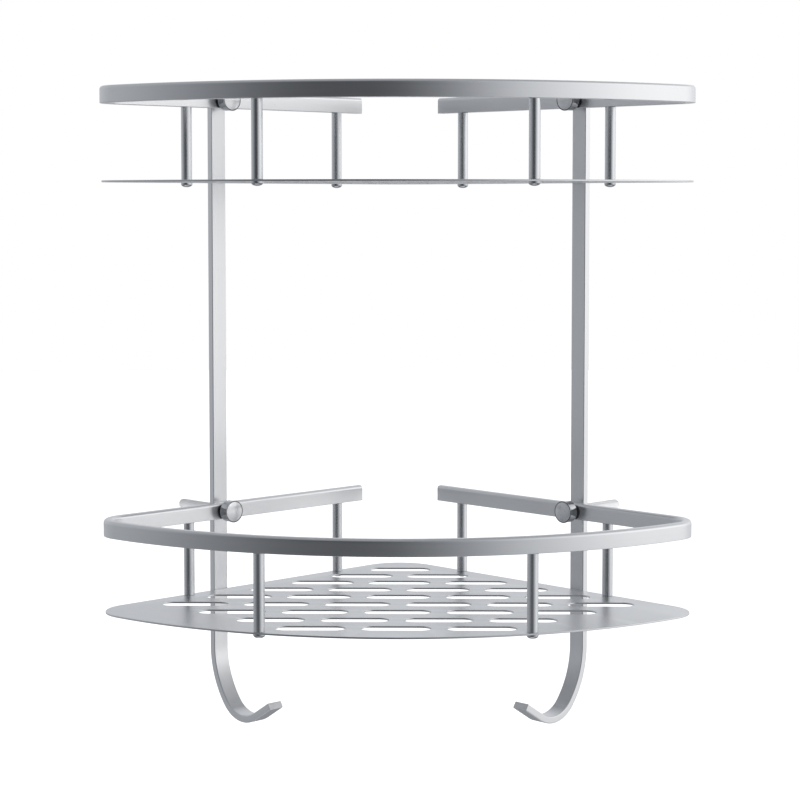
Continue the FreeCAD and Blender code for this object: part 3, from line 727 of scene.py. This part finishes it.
def make_rail(tier):
    """A flat bar bent round the shelf: straight runs, two tight corners and the front arc."""
    node = f"{tier}_rail"
    low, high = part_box(node)
    half = RAIL_THICKNESS / 2
    middle = UPRIGHT_THICKNESS + half
    arcs = quadrant_arcs(middle, RAIL_CORNER_RADIUS - half, RAIL_FRONT_RADIUS - half)
    left_run, _ = wall_directions(LEFT)
    right_run, _ = wall_directions(RIGHT)
    left_tip = near_wall(LEFT, rail_end_along(), middle, 0)
    right_tip = near_wall(RIGHT, rail_end_along(), middle, 0)
    path = []
    for step in range(RAIL_RUN_STEPS):
        path.append((left_tip.lerp(arcs[0][0], step / RAIL_RUN_STEPS), left_run))
    path.extend(arcs)
    for step in range(1, RAIL_RUN_STEPS + 1):
        path.append((arcs[-1][0].lerp(right_tip, step / RAIL_RUN_STEPS), -right_run))
    path = [(point + UP * low.z, direction) for point, direction in path]
    mesh = swept_bar(
        f"{node}_bar", path, UP, RAIL_THICKNESS, high.z - low.z, RAIL_BOTTOM_RADIUS, RAIL_TOP_RADIUS
    )
    add_piece(mesh.name, mesh, [BAR_METAL, CUT_METAL], RACK, "anodised_aluminium", node)


def tray_outline(inset):
    """The tray's plan outline, shrunk all round by inset."""
    wall = TRAY_WALL_GAP + inset
    arcs = quadrant_arcs(wall, TRAY_TIP_RADIUS - inset, TRAY_FRONT_RADIUS - inset)
    apex = Vector((0, -(TRAY_WALL_GAP + TRAY_APEX_RADIUS) * math.sqrt(2), 0))
    back = arc(apex, TRAY_APEX_RADIUS - inset, math.radians(45), math.radians(135))
    return [point for point, _ in arcs + back]


def slot_outline(middle, grow):
    """One round-ended slot about its middle, widened all round by grow."""
    radius = SLOT_WIDTH / 2
    reach = Vector((SLOT_LENGTH / 2 - radius, 0, 0))
    points = []
    for end, start in ((1, -math.pi / 2), (-1, math.pi / 2)):
        for step in range(SLOT_END_STEPS + 1):
            turn = start + math.pi * step / SLOT_END_STEPS
            outward = Vector((math.cos(turn), math.sin(turn), 0))
            points.append(middle + reach * end + outward * (radius + grow))
    return points


def slot_middles():
    """The middle of every slot, row by row from the back of the tray."""
    for row, count in enumerate(SLOTS_PER_ROW):
        for number in range(count):
            across = (number - (count - 1) / 2) * SLOT_PITCH
            yield Vector((across, -(FIRST_SLOT_ROW + row * SLOT_ROW_PITCH), 0))


def sheet_levels(bottom, top):
    """The heights of a sheet's rounded edge from its top to its bottom, each with its inset."""
    levels = []
    for step in range(ROUNDING_STEPS + 1):
        turn = math.pi / 2 * step / ROUNDING_STEPS
        drop = TRAY_EDGE_RADIUS * (1 - math.cos(turn))
        inset = TRAY_EDGE_RADIUS * (1 - math.sin(turn))
        levels.append((top - drop, inset))
    return levels + [(bottom + top - height, inset) for height, inset in reversed(levels)]


def make_tray(tier):
    """A punched sheet: rounded edges round the outline and every slot, and flat faces between."""
    node = f"{tier}_tray"
    low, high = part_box(node)
    levels = sheet_levels(low.z, high.z)
    outlines = [[tray_outline(inset) for _, inset in levels]]
    for middle in slot_middles():
        outlines.append([slot_outline(middle, inset) for _, inset in levels])
    work = bmesh.new()
    rims = {0: [], len(levels) - 1: []}
    for loops in outlines:
        rings = []
        for (height, _), loop in zip(levels, loops):
            rings.append([work.verts.new(point + UP * height) for point in loop])
        count = len(rings[0])
        for before, after in zip(rings, rings[1:]):
            for j in range(count):
                k = (j + 1) % count
                work.faces.new((before[j], before[k], after[k], after[j]))
        for level, edges in rims.items():
            ring = rings[level]
            edges.extend(work.edges.get((ring[j], ring[(j + 1) % count])) for j in range(count))
    for edges in rims.values():
        bmesh.ops.triangle_fill(work, use_beauty=True, edges=edges)
    layer = work.loops.layers.uv.new(UV_NAME)
    for face in work.faces:
        for corner in face.loops:
            corner[layer].uv = corner.vert.co.xy
    mesh = bpy.data.meshes.new(f"{node}_sheet")
    work.to_mesh(mesh)
    work.free()
    add_piece(mesh.name, tidied(mesh), [SHEET_METAL], RACK, "tray_aluminium", node)


def make_post(node, tier):
    """A turned rod between tray and rail, with its spigot and its threaded bore."""
    _, tray_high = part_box(f"{tier}_tray")
    rail_low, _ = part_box(f"{tier}_rail")
    _, post_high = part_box(node)
    length = rail_low.z - tray_high.z
    spigot_top = post_high.z - tray_high.z
    profile = rounded_corners([
        (0, POST_BORE_DEPTH, 0),
        (POST_BORE_RADIUS, POST_BORE_DEPTH, 0),
        (POST_BORE_RADIUS, 0, POST_BORE_EDGE_RADIUS),
        (POST_RADIUS, 0, POST_EDGE_RADIUS),
        (POST_RADIUS, length, POST_EDGE_RADIUS),
        (SPIGOT_RADIUS, length, 0),
        (SPIGOT_RADIUS, spigot_top, SPIGOT_EDGE_RADIUS),
        (0, spigot_top, 0),
    ])
    mesh = turned(f"{node}_rod", profile, post_centre(node) + UP * tray_high.z, UP)
    add_piece(mesh.name, mesh, [ROD_METAL], RACK, "post_aluminium", node)


def make_tray_screw(post_node, tier):
    """A dome-headed screw, up through the tray into a post, with a cross recess below."""
    tray_low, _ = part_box(f"{tier}_tray")
    _, screw_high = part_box(f"{tier}_tray_screws")
    profile = [Vector((0, -TRAY_SCREW_RISE))]
    for step in range(1, TRAY_SCREW_DOME_STEPS + 1):
        turn = math.pi / 2 * step / TRAY_SCREW_DOME_STEPS
        drop = TRAY_SCREW_RIM + (TRAY_SCREW_RISE - TRAY_SCREW_RIM) * math.cos(turn)
        profile.append(Vector((TRAY_SCREW_HEAD * math.sin(turn), -drop)))
    profile.append(Vector((TRAY_SCREW_HEAD, 0)))
    thread_top = screw_high.z - tray_low.z
    profile += rounded_corners([
        (TRAY_SCREW_THREAD, 0, 0),
        (TRAY_SCREW_THREAD, thread_top, TRAY_SCREW_POINT_RADIUS),
        (0, thread_top, 0),
    ])
    origin = post_centre(post_node) + UP * tray_low.z
    name = f"{post_node}_screw"
    mesh = turned(name, profile, origin, UP)
    crown = origin - UP * TRAY_SCREW_RISE
    mesh = cross_recess(mesh, crown, -UP, TRAY_RECESS_REACH, TRAY_RECESS_DEPTH)
    add_piece(name, mesh, [CHROME], RACK, "polished_metal", f"{tier}_tray_screws")


def rail_face_depth():
    """How far a rail's inner face stands out of the wall."""
    return UPRIGHT_THICKNESS + RAIL_THICKNESS


def make_cap(tier, side_name):
    """The screw-on cover: a polished skirt, and a wider satin face with a low dome, ringed by a seam
    groove painted near-black as painted shade.
    """
    wall_point, normal = fixing(tier, side_name)
    origin = wall_point + normal * rail_face_depth()
    groove = CAP_SKIRT_RADIUS - CAP_GROOVE
    rim_height = CAP_STEP + CAP_EDGE
    seam_radius = CAP_RADIUS - 1.5 * CAP_RIM
    dome_radius = seam_radius - CAP_SEAM
    skirt = rounded_corners([
        (0, CAP_STEP, 0),
        (CAP_BORE_RADIUS, CAP_STEP, 0),
        (CAP_BORE_RADIUS, CAP_START, CAP_BORE_EDGE_RADIUS),
        (CAP_SKIRT_RADIUS, CAP_START, CAP_MOUTH_EDGE_RADIUS),
        (CAP_SKIRT_RADIUS, CAP_STEP - CAP_GROOVE, CAP_SKIRT_EDGE_RADIUS),
        (groove, CAP_STEP - CAP_GROOVE, 0),
        (groove, CAP_STEP, 0),
        (CAP_RADIUS, CAP_STEP, CAP_DISC_EDGE_RADIUS),
        (CAP_RADIUS, rim_height, CAP_RIM),
        (seam_radius, rim_height, 0),
    ])
    shade_painted_seam = [
        Vector((seam_radius, rim_height - CAP_SEAM)),
        Vector((dome_radius, rim_height - CAP_SEAM)),
        Vector((dome_radius, rim_height)),
    ]
    dome = []
    for step in range(1, CAP_DOME_STEPS + 1):
        reach = math.cos(math.pi / 2 * step / CAP_DOME_STEPS)
        height = rim_height + (CAP_END - rim_height) * (1 - reach ** 2)
        dome.append(Vector((dome_radius * reach, height)))
    # band 2, the seam groove, takes the near-black coating: painted shade that makes a dark outline round
    # the face
    materials = [0] * (len(skirt) - 1) + [2] * len(shade_painted_seam) + [1] * len(dome)
    name = f"{tier}_{side_name}_cap"
    mesh = turned(f"{name}_cover", skirt + shade_painted_seam + dome, origin, normal, materials=materials)
    metals = [CHROME, CAP_FACE_METAL, PAINTED_SHADE_COATING]
    add_piece(mesh.name, mesh, metals, f"{name}_cover", "polished_metal", name)


def base_thread(radius, height, angle):
    """Radius of the cap base with a helical thread cut in its boss."""
    start = BASE_FLANGE_HEIGHT + BASE_THREAD_FOOT
    end = BASE_HEIGHT - BASE_THREAD_HEAD
    if abs(radius - BASE_BOSS_RADIUS) > NEAR_ENOUGH or not start < height < end:
        return radius
    fade = min(1.0, (height - start) / BASE_THREAD_PITCH, (end - height) / BASE_THREAD_PITCH)
    phase = 2 * math.pi * height / BASE_THREAD_PITCH - angle
    return radius - BASE_THREAD_DEPTH * fade * (0.5 - 0.5 * math.cos(phase))


def make_cap_base(tier, side_name):
    """The flanged ring under the screw head, with the thread that carries the cap."""
    wall_point, normal = fixing(tier, side_name)
    origin = wall_point + normal * rail_face_depth()
    boss = []
    for step in range(1, BASE_THREAD_STEPS):
        rise = (BASE_HEIGHT - BASE_FLANGE_HEIGHT) * step / BASE_THREAD_STEPS
        boss.append(Vector((BASE_BOSS_RADIUS, BASE_FLANGE_HEIGHT + rise)))
    outside = rounded_corners([
        (BASE_HOLE_RADIUS, 0, 0),
        (BASE_FLANGE_RADIUS, 0, BASE_SEAT_EDGE_RADIUS),
        (BASE_FLANGE_RADIUS, BASE_FLANGE_HEIGHT, BASE_FLANGE_EDGE_RADIUS),
        (BASE_BOSS_RADIUS, BASE_FLANGE_HEIGHT, 0),
    ])
    inside = rounded_corners([
        (BASE_BOSS_RADIUS, BASE_HEIGHT, 0),
        (BASE_SOCKET_RADIUS, BASE_HEIGHT, BASE_SOCKET_EDGE_RADIUS),
        (BASE_SOCKET_RADIUS, BASE_FLOOR, 0),
        (BASE_HOLE_RADIUS, BASE_FLOOR, 0),
    ])
    name = f"{tier}_{side_name}_cap_base"
    profile = outside + boss + inside
    mesh = turned(f"{name}_ring", profile, origin, normal, closed=True, shape=base_thread)
    # the ring's near-black coating is painted shade, for the dark gap between the rail and the cap
    add_piece(mesh.name, mesh, [PAINTED_SHADE_COATING], RACK, "dark_base", name)


def make_wall_screw(tier, side_name):
    """The screw through rail and upright into the plug, with a rounded head and a cross recess."""
    wall_point, normal = fixing(tier, side_name)
    seat = rail_face_depth() + BASE_FLOOR
    top = seat + WALL_SCREW_RISE
    profile = rounded_corners([
        (0, -WALL_SCREW_DEPTH, 0),
        (WALL_SCREW_THREAD, WALL_SCREW_TAPER - WALL_SCREW_DEPTH, WALL_SCREW_TAPER_RADIUS),
        (WALL_SCREW_THREAD, seat, 0),
        (WALL_SCREW_HEAD, seat, WALL_SCREW_SEAT_RADIUS),
        (WALL_SCREW_HEAD, top, WALL_SCREW_CROWN_RADIUS),
        (0, top, 0),
    ])
    name = f"{tier}_{side_name}_wall_screw"
    mesh = turned(name, profile, wall_point, normal)
    crown = wall_point + normal * top
    mesh = cross_recess(mesh, crown, normal, WALL_RECESS_REACH, WALL_RECESS_DEPTH)
    add_piece(name, mesh, [SCREW_STEEL], RACK, "screw_steel", "wall_screws")


def plug_angles():
    """Angles round a plug from the edge of a slit, with close ones at the walls of both slits."""
    edge = PLUG_SLIT_ANGLE + PLUG_SLIT_WALL_ANGLE
    gap = math.pi - 2 * edge
    steps = PLUG_STEPS_BETWEEN_SLITS
    angles = []
    for slit in (0, math.pi):
        angles += [slit - edge, slit - PLUG_SLIT_ANGLE, slit + PLUG_SLIT_ANGLE, slit + edge]
        angles += [slit + edge + gap * step / steps for step in range(1, steps)]
    return [angle + edge for angle in angles]


def plug_slit(radius, height, angle):
    """Radius of a plug with a slit down both sides, from its collar to its tip."""
    edge = PLUG_SLIT_ANGLE + PLUG_SLIT_WALL_ANGLE
    around = (angle - edge + math.pi / 2) % math.pi - math.pi / 2
    in_slit = abs(around) <= PLUG_SLIT_ANGLE + NEAR_ENOUGH
    if not in_slit or height > -PLUG_COLLAR or radius < PLUG_BORE_RADIUS:
        return radius
    return max(radius - PLUG_SLIT_DEPTH, PLUG_BORE_RADIUS)


def make_plug(tier, side_name):
    """A nylon plug sunk in the wall, with a collar at its mouth and a slit down each side."""
    wall_point, normal = fixing(tier, side_name)
    corners = rounded_corners([
        (0, -PLUG_LENGTH, 0),
        (PLUG_RADIUS, -PLUG_LENGTH, PLUG_TIP_RADIUS),
        (PLUG_RADIUS, -PLUG_COLLAR - PLUG_COLLAR_STEP, 0),
        (PLUG_RADIUS, -PLUG_COLLAR + PLUG_COLLAR_STEP, 0),
        (PLUG_RADIUS, 0, PLUG_MOUTH_EDGE_RADIUS),
        (PLUG_BORE_RADIUS, 0, PLUG_BORE_EDGE_RADIUS),
        (PLUG_BORE_RADIUS, -PLUG_BORE_DEPTH, 0),
        (0, -PLUG_BORE_DEPTH, 0),
    ])
    name = f"{tier}_{side_name}_wall_plug"
    mesh = turned(name, corners, wall_point, normal, shape=plug_slit, angles=plug_angles())
    add_piece(name, mesh, [PLUG_NYLON], RACK, "plug_plastic", "wall_plugs")


for side_name in SIDES:
    make_upright(side_name)
for tier in TIERS:
    make_rail(tier)
    make_tray(tier)
    for side_name in SIDES:
        for spot in POST_SPOTS:
            post = f"{tier}_{spot}_post_{side_name}"
            make_post(post, tier)
            make_tray_screw(post, tier)
        make_cap_base(tier, side_name)
        make_cap(tier, side_name)
        make_wall_screw(tier, side_name)
        make_plug(tier, side_name)


# ---------------------------------------------------------------- studio

FLOOR_HEIGHT = -0.9
FLOOR_RADIUS = 14.0
FLOOR_STEPS = 64
FLOOR_COLOUR = (0.95, 0.95, 0.95)
FLOOR_GLOW = 0.85
CAMERA_PLACE = Vector((0.0142, -1.3455, 0.2968))
CAMERA_PITCH = math.radians(-3.94)
CAMERA_YAW = math.radians(0.62)
CAMERA_LENS = 97.45
CAMERA_SHIFT = -0.0625

# brightness of the studio by direction, in degrees from the front towards the right
STUDIO_LEVELS = (
    (-180, 0.76), (-165, 0.66), (-125, 0.60), (-90, 0.53), (-68, 0.37), (-50, 0.22),
    (-32, 0.09), (-10, 0.05), (0, 0.07), (10, 0.19), (23, 0.45), (37, 0.78),
    (52, 1.02), (70, 1.30), (92, 1.30), (125, 1.00), (165, 0.88), (180, 0.76),
)
STUDIO_LEVELS_TOP = 1.3
STUDIO_GAIN = 2.0

# brightness overhead, underneath and straight down, and where each starts and is full, as the
# height of a direction from 1 straight up to -1 straight down
OVERHEAD_LEVEL = 0.40
OVERHEAD_START = 0.4
OVERHEAD_FULL = 1.0
UNDERNEATH_LEVEL = 0.24
UNDERNEATH_START = 0.02
UNDERNEATH_FULL = -0.7
FLOOR_LEVEL = 1.1
FLOOR_LEVEL_START = -0.82
FLOOR_LEVEL_FULL = -0.98

# how much the studio's dark parts differ from grey in red, green and blue
DARK_TINT = (-0.05, 0.005, 0.085)


def make_floor():
    """A plain pale floor, well below the hooks."""
    rim = []
    for step in range(FLOOR_STEPS):
        turn = 2 * math.pi * step / FLOOR_STEPS
        rim.append((FLOOR_RADIUS * math.cos(turn), FLOOR_RADIUS * math.sin(turn), FLOOR_HEIGHT))
    mesh = bpy.data.meshes.new("floor")
    mesh.from_pydata(rim, [], [list(range(FLOOR_STEPS))])
    mesh.materials.append(stage_paint("pale_floor", FLOOR_COLOUR, FLOOR_GLOW))
    floor = bpy.data.objects.new("floor", mesh)
    bpy.context.scene.collection.objects.link(floor)
    floor.visible_glossy = False


def softbox(name, azimuth, elevation, distance, width, height, radiance):
    """An area light aimed at the object, that neither the camera nor a reflection sees.

    Azimuth 0 is in front of the object and 90 to its right.
    """
    turn = math.radians(azimuth)
    tilt = math.radians(elevation)
    direction = Vector((math.sin(turn) * math.cos(tilt), -math.cos(turn) * math.cos(tilt), math.sin(tilt)))
    middle = (Vector(cad_box[0]) + Vector(cad_box[1])) / 2
    light = bpy.data.lights.new(name, "AREA")
    light.shape = "RECTANGLE"
    light.size = width
    light.size_y = height
    light.energy = math.pi * width * height * radiance
    lamp = bpy.data.objects.new(name, light)
    lamp.location = middle + direction * distance
    lamp.rotation_euler = direction.to_track_quat("Z", "Y").to_euler()
    lamp.visible_camera = False
    lamp.visible_glossy = False
    bpy.context.scene.collection.objects.link(lamp)


def cool_grey(level):
    """The studio's colour at a brightness: neutral where it is bright, and bluish where it is dark."""
    shade = 1 - level / STUDIO_LEVELS_TOP
    return tuple(level * (1 + tint * shade) for tint in DARK_TINT)


def make_world():
    """A white surround for the camera, and a soft studio round the object for its reflections.

    The studio is shaded by direction: bright on the right, weaker on the left, dark in front where
    the camera stands, and pale behind the object.
    """
    world = bpy.data.worlds.new("studio")
    world.use_nodes = True
    tree = world.node_tree
    background = tree.nodes["Background"]
    direction = add_node(tree, "TexCoord", {}).outputs["Generated"]
    parts = add_node(tree, "SeparateXYZ", {"Vector": direction}).outputs
    front = maths(tree, "MULTIPLY", parts["Y"], -1.0)
    azimuth = remap(tree, maths(tree, "ARCTAN2", parts["X"], front), -math.pi, math.pi, 0.0, 1.0)
    around = add_node(tree, "ValToRGB", {"Fac": azimuth})
    around.color_ramp.interpolation = "LINEAR"
    stops = around.color_ramp.elements
    while len(stops) > 1:
        stops.remove(stops[-1])
    for number, (degrees, level) in enumerate(STUDIO_LEVELS):
        stop = stops[0] if number == 0 else stops.new((degrees + 180) / 360)
        stop.position = (degrees + 180) / 360
        stop.color = (*(part / STUDIO_GAIN for part in cool_grey(level)), 1.0)
    gain = {0: around.outputs["Color"], "Scale": STUDIO_GAIN}
    colour = add_node(tree, "VectorMath", gain, operation="SCALE").outputs["Vector"]
    rise = {"Value": parts["Z"], "From Min": OVERHEAD_START, "From Max": OVERHEAD_FULL}
    overhead = add_node(tree, "MapRange", rise, interpolation_type="SMOOTHSTEP").outputs["Result"]
    underneath = remap(tree, parts["Z"], UNDERNEATH_START, UNDERNEATH_FULL, 0.0, 1.0)
    straight_down = remap(tree, parts["Z"], FLOOR_LEVEL_START, FLOOR_LEVEL_FULL, 0.0, 1.0)
    colour = mix_colours(tree, overhead, colour, cool_grey(OVERHEAD_LEVEL))
    colour = mix_colours(tree, underneath, colour, cool_grey(UNDERNEATH_LEVEL))
    colour = mix_colours(tree, straight_down, colour, cool_grey(FLOOR_LEVEL))
    seen = add_node(tree, "LightPath", {}).outputs["Is Camera Ray"]
    tree.links.new(mix_colours(tree, seen, colour, (1.0, 1.0, 1.0)), background.inputs["Color"])
    bpy.context.scene.world = world


def make_camera():
    """The camera in front of the caddy, a little above its middle."""
    camera = bpy.data.cameras.new("camera")
    camera.lens = CAMERA_LENS
    camera.shift_y = CAMERA_SHIFT
    camera.clip_start = 0.05
    camera.clip_end = 60
    holder = bpy.data.objects.new("camera", camera)
    holder.location = CAMERA_PLACE
    holder.rotation_euler = (math.pi / 2 + CAMERA_PITCH, 0, CAMERA_YAW)
    bpy.context.scene.collection.objects.link(holder)
    bpy.context.scene.camera = holder


make_floor()
make_world()
make_camera()
softbox("key_softbox", azimuth=20, elevation=55, distance=2.4, width=1.2, height=1.2, radiance=3.6)
bpy.context.scene.view_settings.view_transform = "Standard"
